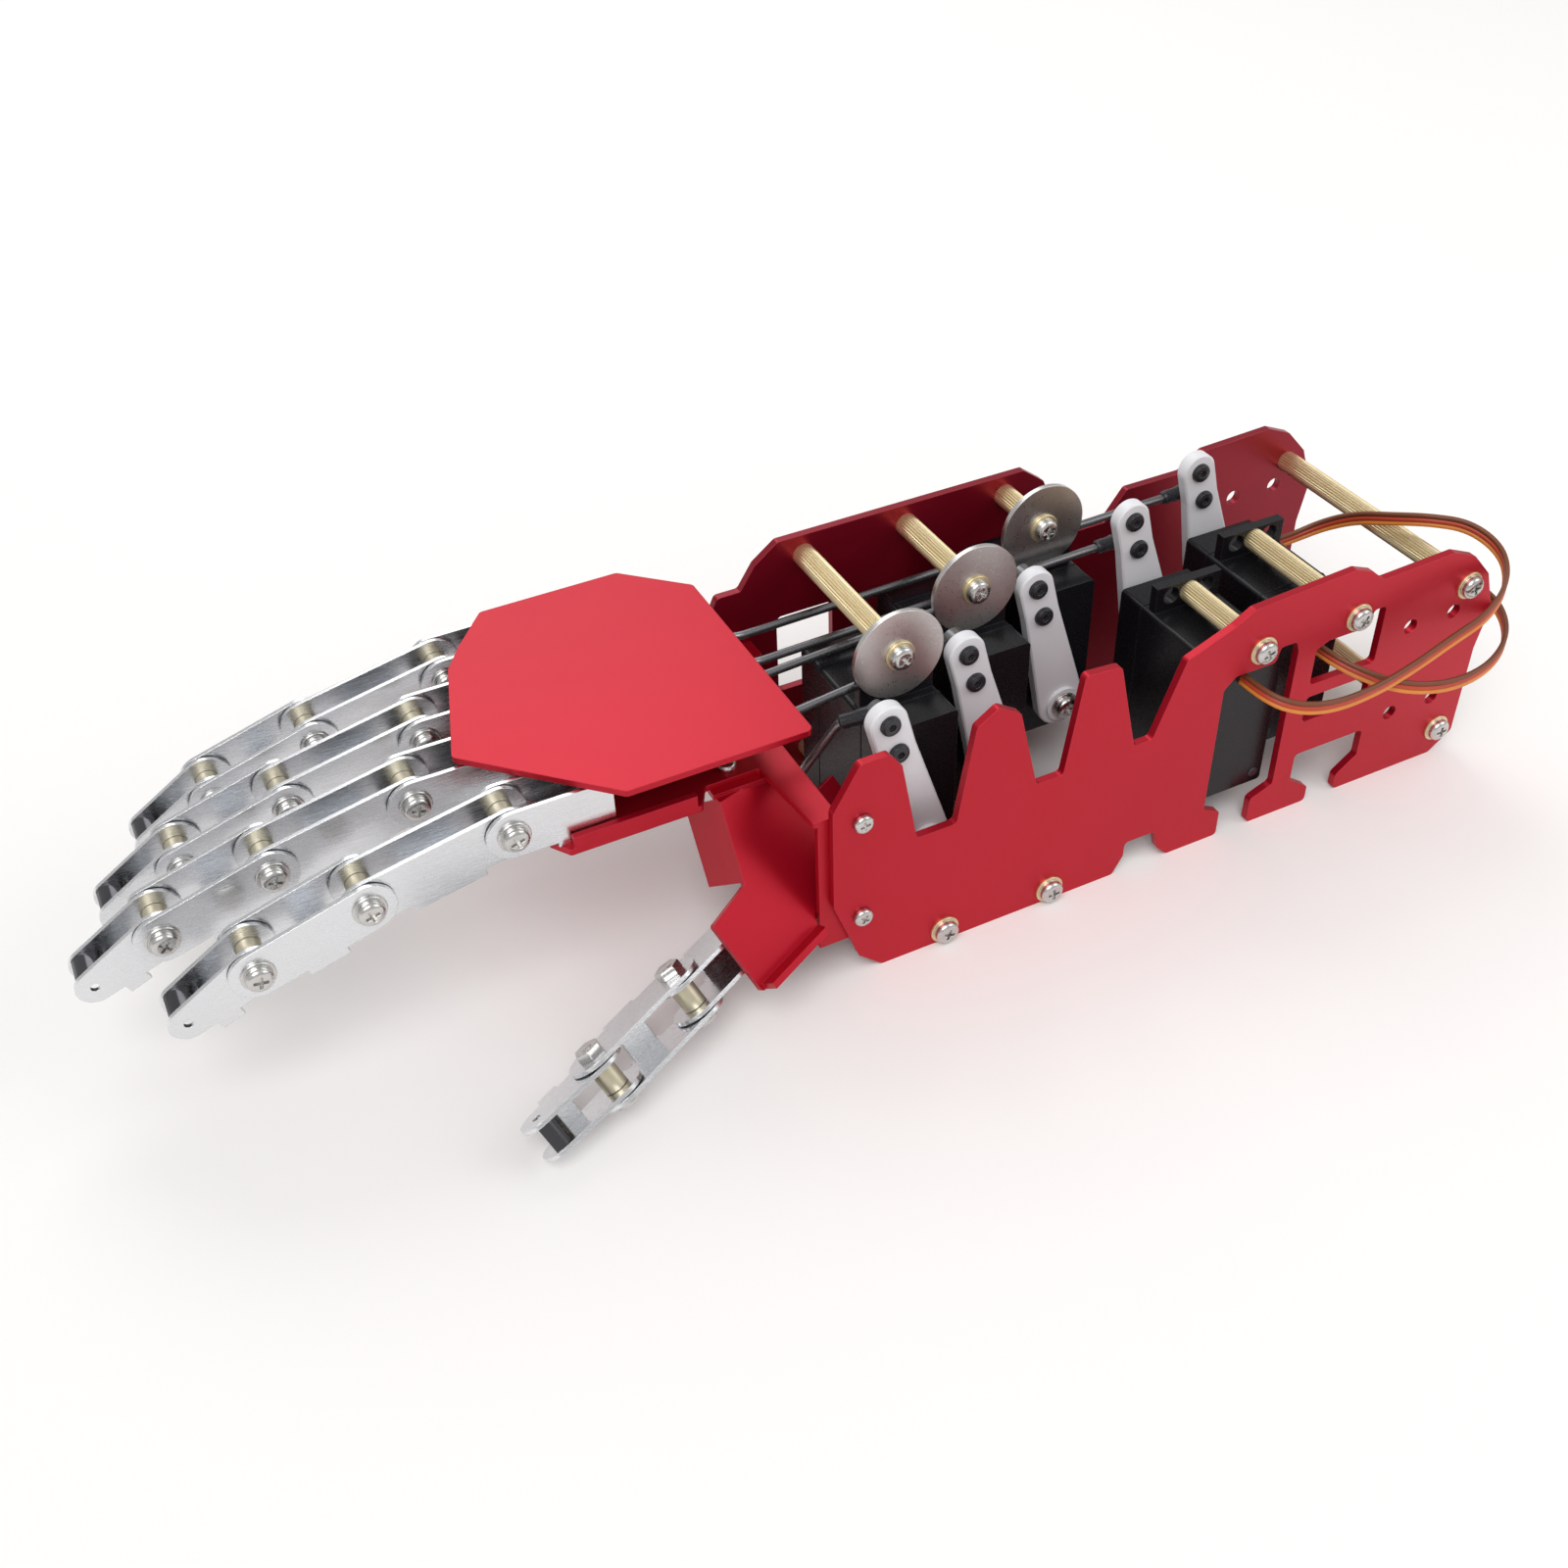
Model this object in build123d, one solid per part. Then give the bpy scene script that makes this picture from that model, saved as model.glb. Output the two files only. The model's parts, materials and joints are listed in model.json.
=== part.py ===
from build123d import *
import os
from math import sin, cos, tan, atan2, degrees, radians, hypot, pi

# Five-fingered robotic hand on an open forearm. Two red side plates carry five servos; each servo
# lever pulls a steel rod that curls one digit. Millimetres, fingers point along -X, +Z is up.
# The y = 0 plane is the near side plate's outer face while building.

# Forearm plates
plate_thick = 2.0
forearm_width = 70.0
plate_corner = 1.2
hole_clearance = 0.1
plate_hole_clearance = 0.2
case_gap, window_round = 0.5, 1.5
light_window_wide, light_window_tall, light_window_rise = 15.0, 22.0, 6.0
pattern_x, pattern_z = 134.1, 32.4
pattern_dx, pattern_dz, pattern_hole_r = 13.4, 26.0, 2.0

# Screws and standoffs
screw_r = 1.5
head_r, head_tall = 2.9, 1.9
washer_r, washer_thick = 3.6, 0.6
nut_r, nut_tall, nut_past = 3.1, 2.2, 0.2
thread_long = 6.0
standoff_r = 2.75
frame_points = [(0.0, 3.6), (28.5, 3.6), (145.3, 8.1), (143.6, 52.1)]

# Servos
servo_first_x = -0.5
servo_pitch = 27.5
case_long, case_wide, case_deep = 40.5, 20.0, 36.6
case_round = 1.0
lug_long, lug_thick, lug_drop = 7.0, 2.5, 10.0
lug_slot_r, lug_slot_apart, lug_inset = 2.2, 10.0, 0.8
lug_hole_out = 4.1
shaft_offset = 10.0
boss_r, boss_tall = 6.0, 1.4
shaft_r, shaft_fit, shaft_bore_deep = 2.9, 0.06, 4.0
front_bottom, rear_bottom = 14.5, 9.6
front_faces = [13.2, 27.0, 41.5]
rear_faces = [40.4, 51.4]
clamp_disc_r, clamp_disc_thick = 11.0, 1.2
disc_gap = 1.5

# Levers
lever_thick = 3.0
lever_gap = 0.3
lever_hub_r, lever_head_r = 6.4, 4.6
head_over_case, rear_reach = 6.2, 20.0
rear_extra = 8.5
lever_lean = 15.0
link_spacing = 8.5
hub_share, hub_tall, hub_hole_r = 0.72, 1.0, 1.4

# Rods
rod_r = 1.0
rod_bend_r = 5.0
link_r, link_wide = 3.0, 4.4
thumb_link_r, thumb_link_wide = 2.2, 3.0
thumb_link_axis = Vector(-0.24867, 0.95515, 0.160783)
eye_r, eye_wide = 1.7, 4.4
link_gap = 0.3

# Servo leads
lead_r = 1.7
lead_run_share = 0.45

# Digits
sheet = 1.0
cheek_half = 5.8
web_drop = 1.6
channel_wide = 11.0
side_gap = 0.3
web_start = 9.0
deep_start = 8.0
bush_r = 2.75
pin_hole_r = 1.56
proximal_long, middle_long, tip_long = 32.0, 25.0, 17.0
rest_slopes = (11.5, 16.5, 23.0)
curl_range = 65.0
eye_arm = 5.7
knuckle_z = 54.5
finger_first_y, finger_pitch = 26.0, 19.0
knuckle_xs = [-90.7, -105.6, -97.4, -86.5]
root_long = 22.0
digit_names = ["thumb", "index", "middle", "ring", "little"]

# Thumb
thumb_knuckle = (-35.6, 12.2, 19.4)
thumb_along = Vector(-0.905, -0.398, -0.15).normalized()
thumb_lean = Vector(0, -0.829, 0.559)
thumb_up = (thumb_lean - thumb_along * thumb_lean.dot(thumb_along)).normalized()

# Palm
palm_sheet = 1.5
lip_tall = 4.5
cover_gap = 0.3
leg_bottom, leg_gap = 10.0, 0.1

curl_axis_drop = eye_arm * cos(radians(curl_range / 2))
eye_back = eye_arm * sin(radians(curl_range / 2))
narrow_wide = channel_wide - 2 * (sheet + side_gap)
base_top = knuckle_z - cheek_half - web_drop + 0.4
cover_bottom = knuckle_z + cheek_half + cover_gap
far_inner = forearm_width - plate_thick
front_reach = (case_long - shaft_offset + head_over_case) / cos(radians(lever_lean))
top_post_z = front_bottom + case_long + clamp_disc_r + disc_gap


def rounded(points, radius):
    """Face with every corner rounded."""
    return make_face(FilletPolyline(*points, radius=radius, close=True))


def upright(face, y_low, thick):
    """Plate parallel to XZ, from y_low towards +Y."""
    return Pos(0, y_low, 0) * extrude(Plane.XZ * face, amount=-thick)


def rod_y(x, z, y_low, y_high, radius):
    return Pos(x, (y_low + y_high) / 2, z) * Rot(90, 0, 0) * Cylinder(radius, y_high - y_low)


def tube_y(x, z, y_low, y_high, radius, bore):
    return rod_y(x, z, y_low, y_high, radius) - rod_y(x, z, y_low, y_high, bore)


def slab(x_low, x_high, y_low, y_high, z_low, z_high):
    centre = Pos((x_low + x_high) / 2, (y_low + y_high) / 2, (z_low + z_high) / 2)
    return centre * Box(x_high - x_low, y_high - y_low, z_high - z_low)


def screw_up(reach):
    """Pan head screw with its washer: the head stands up from the XY plane, the shank goes down."""
    head_low = Pos(0, 0, washer_thick)
    head = head_low * extrude(Circle(head_r), amount=head_tall)
    head = chamfer(head.edges().filter_by(GeomType.CIRCLE).sort_by(Axis.Z)[-1], head_tall * 0.4)
    washer = extrude(Circle(washer_r), amount=washer_thick)
    shank = Pos(0, 0, -reach) * extrude(Circle(screw_r), amount=reach + washer_thick)
    return head + washer + shank


def pan_screw(x, z, y_face, way, reach):
    """Screw across the forearm; way is the side that its head stands out to."""
    return Pos(x, y_face, z) * Rot(-90 * way, 0, 0) * screw_up(reach)


def group(solids):
    return Compound([item for piece in solids for item in piece.solids()])


# Servo places: centre x, bottom of the case, face that the lever sits on, and which way it faces
servos = []
for index in range(5):
    front = index < 3
    servos.append({
        "x": servo_first_x + index * servo_pitch,
        "bottom": front_bottom if front else rear_bottom,
        "face": front_faces[index] if front else rear_faces[index - 3],
        "way": -1 if front else 1,
        "shaft_z": (front_bottom + shaft_offset) if front else (rear_bottom + case_long - shaft_offset),
        "reach": front_reach if front else rear_reach,
    })


def servo_case(servo):
    """Closed case with the lug plate and the raised boss round its shaft."""
    way, face = servo["way"], servo["face"]
    back = face - way * case_deep
    y_low, y_high = min(face, back), max(face, back)
    x, bottom = servo["x"], servo["bottom"]
    half = case_wide / 2
    case = slab(x - half, x + half, y_low, y_high, bottom, bottom + case_long)
    case = fillet(case.edges().filter_by(Axis.Y), case_round)
    lug_face = face - way * lug_drop
    lug_back = lug_face - way * lug_thick
    lug_low, lug_high = min(lug_face, lug_back), max(lug_face, lug_back)
    reach = half - lug_inset
    top = bottom + case_long
    lugs = slab(x - reach, x + reach, lug_low, lug_high, bottom - lug_long, top + lug_long)
    for side_x in (-lug_slot_apart / 2, lug_slot_apart / 2):
        for z in (bottom - lug_hole_out, top + lug_hole_out):
            lugs -= rod_y(x + side_x, z, lug_low - 1, lug_high + 1, lug_slot_r)
    boss_face = face + way * boss_tall
    floor = face - way * shaft_bore_deep
    boss = rod_y(x, servo["shaft_z"], min(face, boss_face), max(face, boss_face), boss_r)
    bore = rod_y(x, servo["shaft_z"], min(boss_face, floor), max(boss_face, floor), shaft_r + shaft_fit)
    return case + lugs + boss - bore


def lever_face(servo):
    return servo["face"] + servo["way"] * (boss_tall + lever_gap)


def servo_shaft(servo):
    """Splined output shaft, from inside the case to the lever's outer face."""
    way = servo["way"]
    inner = servo["face"] - way * (shaft_bore_deep - 0.4)
    outer = lever_face(servo)
    shaft = rod_y(servo["x"], servo["shaft_z"], min(inner, outer), max(inner, outer), shaft_r - 0.25)
    collar_end = servo["face"] + way * 0.4
    collar = rod_y(servo["x"], servo["shaft_z"], min(inner, collar_end), max(inner, collar_end), shaft_r)
    return shaft + collar


def head_point(servo, reach):
    lean = radians(lever_lean)
    return servo["x"] - reach * sin(lean), servo["shaft_z"] + reach * cos(lean)


def lever(servo):
    """Tapered lever with a round hub and a long head that takes two link screws."""
    way = servo["way"]
    inner = lever_face(servo)
    y_low = min(inner, inner + way * lever_thick)
    long = servo["reach"] + (rear_extra if way > 0 else 0.0)
    reach_low = long - link_spacing
    blade = make_hull([*Circle(lever_hub_r).edges(), *(Pos(0, reach_low) * Circle(lever_head_r)).edges()])
    head = SlotCenterToCenter(link_spacing, 2 * lever_head_r, rotation=90)
    blade += Pos(0, reach_low + link_spacing / 2) * head
    for height in (long, reach_low):
        blade -= Pos(0, height) * Circle(screw_r + hole_clearance)
    blade -= Circle(hub_hole_r)
    plate = upright(blade, y_low, lever_thick)
    plate = chamfer(plate.faces().sort_by(Axis.Y)[0].outer_wire().edges(), 0.4)
    hub_end = inner + way * lever_thick
    hub_far = hub_end + way * hub_tall
    hub = tube_y(0, 0, min(hub_end, hub_far), max(hub_end, hub_far), lever_hub_r * hub_share, hub_hole_r)
    return Pos(servo["x"], 0, servo["shaft_z"]) * Rot(0, -lever_lean, 0) * (plate + hub)


def link_plane(number):
    """Y of the link centre for each lever; the links sit on the levers' far side."""
    servo = servos[number]
    inner = lever_face(servo)
    far = max(inner, inner + servo["way"] * lever_thick)
    return far + link_gap + link_wide / 2


thumb_plane = Plane(origin=thumb_knuckle, x_dir=-thumb_along, z_dir=thumb_up)
finger_planes = [
    Plane(origin=(x, finger_first_y + n * finger_pitch, knuckle_z), x_dir=(1, 0, 0), z_dir=(0, 0, 1))
    for n, x in enumerate(knuckle_xs)
]
digit_planes = [thumb_plane] + finger_planes
digit_slopes = [(0.0, 0.0, 0.0)] + [rest_slopes] * 4


def joint_places(slopes):
    """Knuckle and the two finger joints in the digit's own XZ plane."""
    places = [(0.0, 0.0)]
    for length, slope in zip((proximal_long, middle_long), slopes):
        x, z = places[-1]
        places.append((x - length * cos(radians(slope)), z - length * sin(radians(slope))))
    return places


def cheeks(outline, wide):
    half = wide / 2
    return upright(outline, -half, sheet) + upright(outline, half - sheet, sheet)


def channel(length, wide):
    """Phalanx folded from sheet: two cheeks with round ends, joined by a web along the deep middle."""
    body = Pos(-length / 2, 0) * SlotCenterToCenter(length, 2 * cheek_half)
    deep_low = -cheek_half - web_drop
    deep = Pos(-length / 2, deep_low / 2) * Rectangle(length - 2 * deep_start, -deep_low)
    outline = body + deep
    for x in (0.0, -length):
        outline -= Pos(x, 0) * Circle(pin_hole_r)
    web = slab(-length + web_start, -web_start, -wide / 2, wide / 2, deep_low, deep_low + sheet)
    return cheeks(outline, wide) + web


def fingertip(wide):
    """Last phalanx: its cheeks narrow to a round nose that a nose plate closes."""
    deep_low = -cheek_half - web_drop
    nose_r = 4.0
    body = make_hull([*Circle(cheek_half).edges(), *(Pos(-tip_long, -1.0) * Circle(nose_r)).edges()])
    deep = Pos(-deep_start - 2.5, deep_low / 2) * Rectangle(5.0, -deep_low)
    outline = body + deep - Circle(pin_hole_r) - Pos(-tip_long, -1.0) * Circle(1.0)
    web = slab(-tip_long, -web_start + 1, -wide / 2, wide / 2, -1.0 - nose_r, -nose_r)
    return cheeks(outline, wide) + web


def root_channel(under):
    """Fixed channel at the knuckle; under is False where its web lies on top, as on the thumb."""
    body = Circle(cheek_half) + Pos(root_long / 2, 0) * Rectangle(root_long, 2 * cheek_half)
    low = base_top - knuckle_z if under else -cheek_half
    high = cheek_half + 0.4
    half = channel_wide / 2
    middle = (root_long + web_start) / 2
    if under:
        foot = Pos(middle, (low - cheek_half) / 2) * Rectangle(root_long - web_start, -low - cheek_half)
        web = slab(web_start, root_long, -half, half, low, low + sheet)
    else:
        foot = Pos(middle, (high + cheek_half) / 2) * Rectangle(root_long - web_start, high - cheek_half)
        web = slab(web_start, root_long, -half, half, high - sheet, high)
    outline = body + foot - Circle(pin_hole_r)
    return cheeks(outline, channel_wide) + web


def hinge_screw(x, z):
    """Screw, washer and nut through the wide channel's two cheeks."""
    half = channel_wide / 2
    bolt = pan_screw(x, z, -half, -1, channel_wide + nut_tall + nut_past)
    nut = upright(Pos(x, z) * RegularPolygon(nut_r, 6), half, nut_tall)
    return bolt + (nut - rod_y(x, z, half - 1, half + 2 * nut_tall, screw_r))


def hinge_bush(x, z):
    half = narrow_wide / 2 - sheet - 0.1
    return tube_y(x, z, -half, half, bush_r, pin_hole_r)


def place(number, shape):
    return digit_planes[number].location * shape


def slope_place(slopes, joint):
    x, z = joint_places(slopes)[joint]
    return Pos(x, 0, z) * Rot(0, -slopes[joint], 0)


def eye_centre(number):
    """World place of the rod's eye beside the digit's knuckle."""
    spot = Vector(-eye_back, 0, -curl_axis_drop)
    return digit_planes[number].from_local_coords(spot)


def rod_start(number):
    x, z = head_point(servos[number], servos[number]["reach"])
    return Vector(x, link_plane(number), z)


thumb_crest = Vector(-17.5, 17.7, 58.5)
thumb_pass = Vector(-25.0, 24.0, 41.0)
thumb_turns = [Vector(14, 8, -9), Vector(7, 0, -7.5)]
palm_entry_x, palm_entry_z = -22.0, 57.0
root_entry, root_entry_rise = 27.0, 1.2


def rod_bends(number):
    """Bend points between a rod's link and its eye."""
    start = rod_start(number)
    if number == 0:
        return [thumb_crest, thumb_pass] + [thumb_plane.from_local_coords(turn) for turn in thumb_turns]
    if number >= 3:
        eye = eye_centre(number)
        knuckle = digit_planes[number].origin
        entry = Vector(knuckle.X + root_entry, eye.Y, eye.Z + root_entry_rise)
        return [Vector(palm_entry_x, start.Y, palm_entry_z), entry]
    return []


def pull_rod(number):
    """Wire with its link on the lever's side and a flat eye at the knuckle."""
    start, end = rod_start(number), eye_centre(number)
    points = [start] + rod_bends(number) + [end]
    if len(points) == 2:
        path = Line(points[0], points[1])
    else:
        path = FilletPolyline(*points, radius=rod_bend_r)
    wire = sweep(Plane(origin=path @ 0, z_dir=path % 0) * Circle(rod_r), path=path)
    if number == 0:
        link_at = Plane(origin=start, z_dir=thumb_link_axis)
        link = extrude(link_at * Circle(thumb_link_r), amount=thumb_link_wide / 2, both=True)
    else:
        link = Pos(*start) * Rot(90, 0, 0) * Cylinder(link_r, link_wide)
        link = chamfer(link.edges().filter_by(GeomType.CIRCLE), 0.7)
    plane = digit_planes[number]
    eye_at = Plane(origin=end, x_dir=plane.x_dir, z_dir=plane.y_dir)
    eye = extrude(eye_at * Circle(eye_r), amount=eye_wide / 2, both=True)
    return wire + link + eye


def near_outline():
    points = [
        (-16.3, 0), (46.7, 0), (49.5, 5.0), (49.5, 9.0), (58.1, 9.0), (59.5, 3.2), (62.7, 0), (77.4, 0),
        (77.4, 7.5), (72.4, 10), (72.4, 46), (75.4, 49), (86.5, 49), (87.5, 53), (92, 53), (93, 50), (93, 10),
        (86.7, 7.5), (86.7, 0),
        (104.8, 0), (104.8, 4.5), (98.6, 9), (98.6, 17), (119.5, 17), (119.5, 9), (113.8, 4.5), (113.8, 0),
        (145, 0), (151.4, 5), (151.4, 31), (153.5, 42.4), (149.4, 53.6), (143.3, 60.3), (136.2, 63.4),
        (115.2, 62.6), (111.3, 66), (105.9, 68.2), (77.8, 66.5), (72.8, 63.5), (60.5, 58.6), (53.5, 39),
        (48.5, 39), (42.5, 63.3), (33.1, 64.1), (29.5, 38), (22.5, 38), (17, 60), (11.4, 63.7), (6, 60),
        (2, 35), (-8, 35), (-12, 57), (-15, 61), (-22, 61), (-28.5, 50), (-28.5, 23), (-22.2, 5.4),
    ]
    return rounded(points, plate_corner)


def far_outline():
    far_top = top_post_z + 5.0
    points = [
        (-16.3, 0), (46.7, 0), (49.5, 5.0), (49.5, 9.0), (58.1, 9.0), (59.5, 3.2), (62.7, 0), (145, 0),
        (151.4, 5), (151.4, 31), (153.5, 42.4), (149.4, 53.6), (143.3, 60.3), (136.2, 63.4), (115.2, 62.6),
        (109, 58), (92, 58), (86, 50), (76, 50), (70, 58), (66, far_top - 4.5), (60, far_top), (-7, far_top),
        (-13, far_top - 4.5),
        (-17, 62), (-23, 62), (-28.5, 50), (-28.5, 23), (-22.2, 5.4),
    ]
    return rounded(points, plate_corner)


def drilled(face, spots, radius):
    for x, z in spots:
        face -= Pos(x, z) * Circle(radius)
    return face


pattern_spots = [
    (pattern_x + sx * pattern_dx / 2, pattern_z + sz * pattern_dz / 2) for sx in (-1, 1) for sz in (-1, 1)
]
front_spots = [(-21.5, 17.7), (-21.5, 45.2)]
rear_top_z = rear_bottom + case_long + lug_hole_out
rear_spots = [(servos[3]["x"], rear_top_z), (servos[4]["x"], rear_top_z)]
top_spots = [(servos[n]["x"], top_post_z) for n in range(3)]
low_post_z = front_bottom - lug_hole_out
low_spots = [(servos[n]["x"], low_post_z) for n in range(3)]
upper_window = [(98.5, 38.2), (98.5, 48.5), (102, 50), (113, 50), (114.5, 54.5), (118, 54.5), (118, 38.2)]
lower_window = [(98.5, 27), (98.5, 34.5), (118, 34.5), (118, 27)]


def near_side_plate():
    face = near_outline()
    screw_hole = screw_r + plate_hole_clearance
    face = drilled(face, frame_points + front_spots + rear_spots, screw_hole)
    face = drilled(face, pattern_spots, pattern_hole_r)
    for window in (upper_window, lower_window):
        face -= rounded(window, plate_corner)
    return upright(face, 0.0, plate_thick)


def far_side_plate():
    face = far_outline()
    screw_hole = screw_r + plate_hole_clearance
    face = drilled(face, frame_points + front_spots + top_spots + low_spots, screw_hole)
    face = drilled(face, pattern_spots, pattern_hole_r)
    case_mid = front_bottom + case_long / 2
    for servo in servos[:3]:
        if servo["face"] + case_deep > far_inner - case_gap:
            window = RectangleRounded(case_wide + 2 * case_gap, case_long + 2 * case_gap, window_round)
            face -= Pos(servo["x"], case_mid) * window
        else:
            window = RectangleRounded(light_window_wide, light_window_tall, window_round)
            face -= Pos(servo["x"], case_mid + light_window_rise) * window
    return upright(face, far_inner, plate_thick)


def standoffs():
    bore = screw_r + hole_clearance
    return [tube_y(x, z, plate_thick, far_inner, standoff_r, bore) for x, z in frame_points]


def servo_posts():
    """Brass posts from the far plate to servos 1 to 3 and from the near plate to servos 4 and 5."""
    bore = screw_r + hole_clearance
    posts = []
    for n in range(3):
        x = servos[n]["x"]
        lug_near = servos[n]["face"] + lug_drop
        posts.append(tube_y(x, top_post_z, lug_near, far_inner, standoff_r, bore))
        posts.append(tube_y(x, low_post_z, lug_near + lug_thick, far_inner, standoff_r, bore))
    for n in (3, 4):
        lug_near = servos[n]["face"] - lug_drop - lug_thick
        posts.append(tube_y(servos[n]["x"], rear_top_z, plate_thick, lug_near, standoff_r, bore))
    return posts


def clamp_discs():
    bore = screw_r + plate_hole_clearance
    discs = []
    for servo in servos[:3]:
        lug_near = servo["face"] + lug_drop
        near = lug_near - clamp_disc_thick
        discs.append(tube_y(servo["x"], top_post_z, near, lug_near, clamp_disc_r, bore))
    return discs


def frame_screws():
    reach = plate_thick + thread_long
    leg_reach = plate_thick + palm_sheet + 1
    near = [pan_screw(x, z, 0.0, -1, reach) for x, z in frame_points + rear_spots]
    near += [pan_screw(x, z, 0.0, -1, leg_reach) for x, z in front_spots]
    far = [pan_screw(x, z, forearm_width, 1, reach) for x, z in frame_points + top_spots + low_spots]
    far += [pan_screw(x, z, forearm_width, 1, leg_reach) for x, z in front_spots]
    discs = []
    for servo in servos[:3]:
        disc_near = servo["face"] + lug_drop - clamp_disc_thick
        discs.append(pan_screw(servo["x"], top_post_z, disc_near, -1, clamp_disc_thick + thread_long))
    return near + far + discs


palm_near_y = 18.5
palm_far_y = finger_first_y + 3 * finger_pitch + channel_wide / 2 + 1.0
leg_near, leg_far = plate_thick + leg_gap, far_inner - leg_gap


def palm_base():
    """Lower palm plate with a lip at its near edge and two legs inside the side plates."""
    points = [
        (-26, leg_near), (-32, leg_near), (-34, 24), (-47, 24), (-50, palm_near_y), (-80, palm_near_y),
        (-83, 23), (-83, 33), (-97, 38), (-97, 52), (-89, 57), (-89, 71), (-78, 76), (-78, palm_far_y - 2),
        (-74, palm_far_y), (-40, palm_far_y), (-30.5, 79), (-30.5, leg_far), (-15, leg_far), (-15, 62),
        (-26, 55),
    ]
    plate = Pos(0, 0, base_top - palm_sheet) * extrude(rounded(points, 0.8), amount=palm_sheet)
    under = base_top - palm_sheet
    lip = slab(-79, -51, palm_near_y, palm_near_y + palm_sheet, under, under + lip_tall)
    near_leg = slab(-31, -15, leg_near, leg_near + palm_sheet, leg_bottom, base_top)
    far_leg = slab(-31, -15, leg_far - palm_sheet, leg_far, leg_bottom, base_top)
    body = plate + lip + near_leg + far_leg
    for x, z in front_spots:
        body -= rod_y(x, z, 0, forearm_width, screw_r + hole_clearance)
    for x, y in palm_posts_at + thumb_screws_at:
        body -= Pos(x, y, base_top - 1) * Cylinder(screw_r + plate_hole_clearance, 6)
    return body


palm_posts_at = [(-34.0, 36.0), (-34.0, 77.0), (-66.0, 35.5), (-62.0, 54.5), (-60.0, 73.5)]
thumb_screws_at = [(-40.0, 28.0)]


def palm_cover():
    points = [
        (-25.5, 14), (-25.5, 76), (-39.5, palm_far_y), (-73.5, palm_far_y), (-82, 79), (-87, 71.5),
        (-96, 41.5), (-68, 14),
    ]
    return Pos(0, 0, cover_bottom) * extrude(rounded(points, 1.5), amount=palm_sheet)


def palm_posts():
    """Blind posts under the cover; screws hold them from below the base."""
    tall = cover_bottom - base_top
    bore = extrude(Circle(screw_r + hole_clearance), amount=tall * 0.7)
    post = extrude(Circle(standoff_r), amount=tall) - bore
    return [Pos(x, y, base_top) * post for x, y in palm_posts_at]


def palm_screws():
    under_base = base_top - palm_sheet
    screws = [Pos(x, y, under_base) * Rot(180, 0, 0) * screw_up(palm_sheet + 5) for x, y in palm_posts_at]
    x, y = thumb_screws_at[0]
    return screws + [Pos(x, y, base_top) * screw_up(2 * palm_sheet + 1)]


def thumb_bracket():
    """Folded bracket that slopes down from the palm: web, side wall, raised lip and top tab."""
    web_low = cheek_half + 0.4
    points = [
        (-21, -9.5), (14, -9.0), (25, 9), (25, 30), (16, 46), (5, 46), (-1.3, 28.8), (-9, 10.5), (-21, 9.0),
    ]
    web = Pos(0, 0, web_low) * extrude(rounded(points, 0.8), amount=palm_sheet)
    web -= Pos(20.0, 20.5, web_low) * Box(13, 13, 8)
    lip = slab(-20, -0.5, -9.5, -9.5 + palm_sheet, web_low, web_low + 6)
    side_long = hypot(7.7, 18.3)
    side_angle = degrees(atan2(18.3, 7.7))
    wall = slab(0.5, side_long - 0.5, -palm_sheet, 0, web_low - 14, web_low + 1)
    side = Pos(-9, 10.5, 0) * Rot(0, 0, side_angle) * wall
    bracket = thumb_plane.location * (web + lip + side)
    ceiling = base_top - palm_sheet
    bracket -= slab(-120, 60, -60, 120, ceiling - palm_sheet / 2, ceiling + 60)
    bracket -= slab(-31.5, 60, -60, leg_near + palm_sheet + 0.3, -60, ceiling)
    tab = slab(-46, -28, 22, 32, ceiling - palm_sheet, ceiling)
    x, y = thumb_screws_at[0]
    return bracket + tab - Pos(x, y, ceiling) * Cylinder(screw_r + hole_clearance, 8)


def knuckle_screws():
    return [place(n, hinge_screw(0, 0)) for n in range(5)]


def knuckle_bushes():
    return [place(n, hinge_bush(0, 0)) for n in range(5)]


def root_channels():
    return [place(n, root_channel(n > 0)) for n in range(5)]


def digit_nodes(number):
    name = digit_names[number]
    slopes = digit_slopes[number]
    joints = joint_places(slopes)
    return {
        name + "_proximal": place(number, slope_place(slopes, 0) * channel(proximal_long, narrow_wide)),
        name + "_middle": place(number, slope_place(slopes, 1) * channel(middle_long, channel_wide)),
        name + "_tip": place(number, slope_place(slopes, 2) * fingertip(narrow_wide)),
        name + "_bushes": group([place(number, hinge_bush(x, z)) for x, z in joints[1:]]),
        name + "_screws": group([place(number, hinge_screw(x, z)) for x, z in joints[1:]]),
    }


rear_servo_side = servos[4]["x"] + case_wide / 2
back_faces = [servos[n]["face"] - case_deep for n in (3, 4)]
outer_lead = [
    (80.5, back_faces[0], 44.5), (80.5, -4.3, 44.5), (85.5, -10.0, 42.8), (95.5, -12.0, 41.0),
    (108.5, -11.5, 41.0), (120.5, -10.5, 43.0), (131.5, -9.5, 46.0), (142.5, -9.0, 49.0), (151.5, -4.5, 52.5),
    (156.0, 3.0, 56.0), (153.5, 12.0, 59.0), (146.0, 18.0, 59.8), (140.5, 26.0, 57.5), (138.0, 34.5, 54.0),
    (134.0, 41.0, 49.5), (127.5, 44.0, 46.0), (rear_servo_side, 44.0, 46.0),
]
inner_lead = [
    (104.0, back_faces[1], 43.5), (104.0, 4.5, 43.5), (108.0, -4.5, 41.5), (117.0, -11.0, 38.0),
    (129.0, -14.0, 36.0), (141.5, -13.5, 36.5), (152.0, -8.5, 38.5), (157.5, 0.5, 41.0), (156.5, 11.0, 42.5),
    (148.5, 18.0, 42.0), (136.5, 20.0, 38.5), (128.0, 19.0, 36.0), (rear_servo_side, 19.0, 36.0),
]


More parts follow.
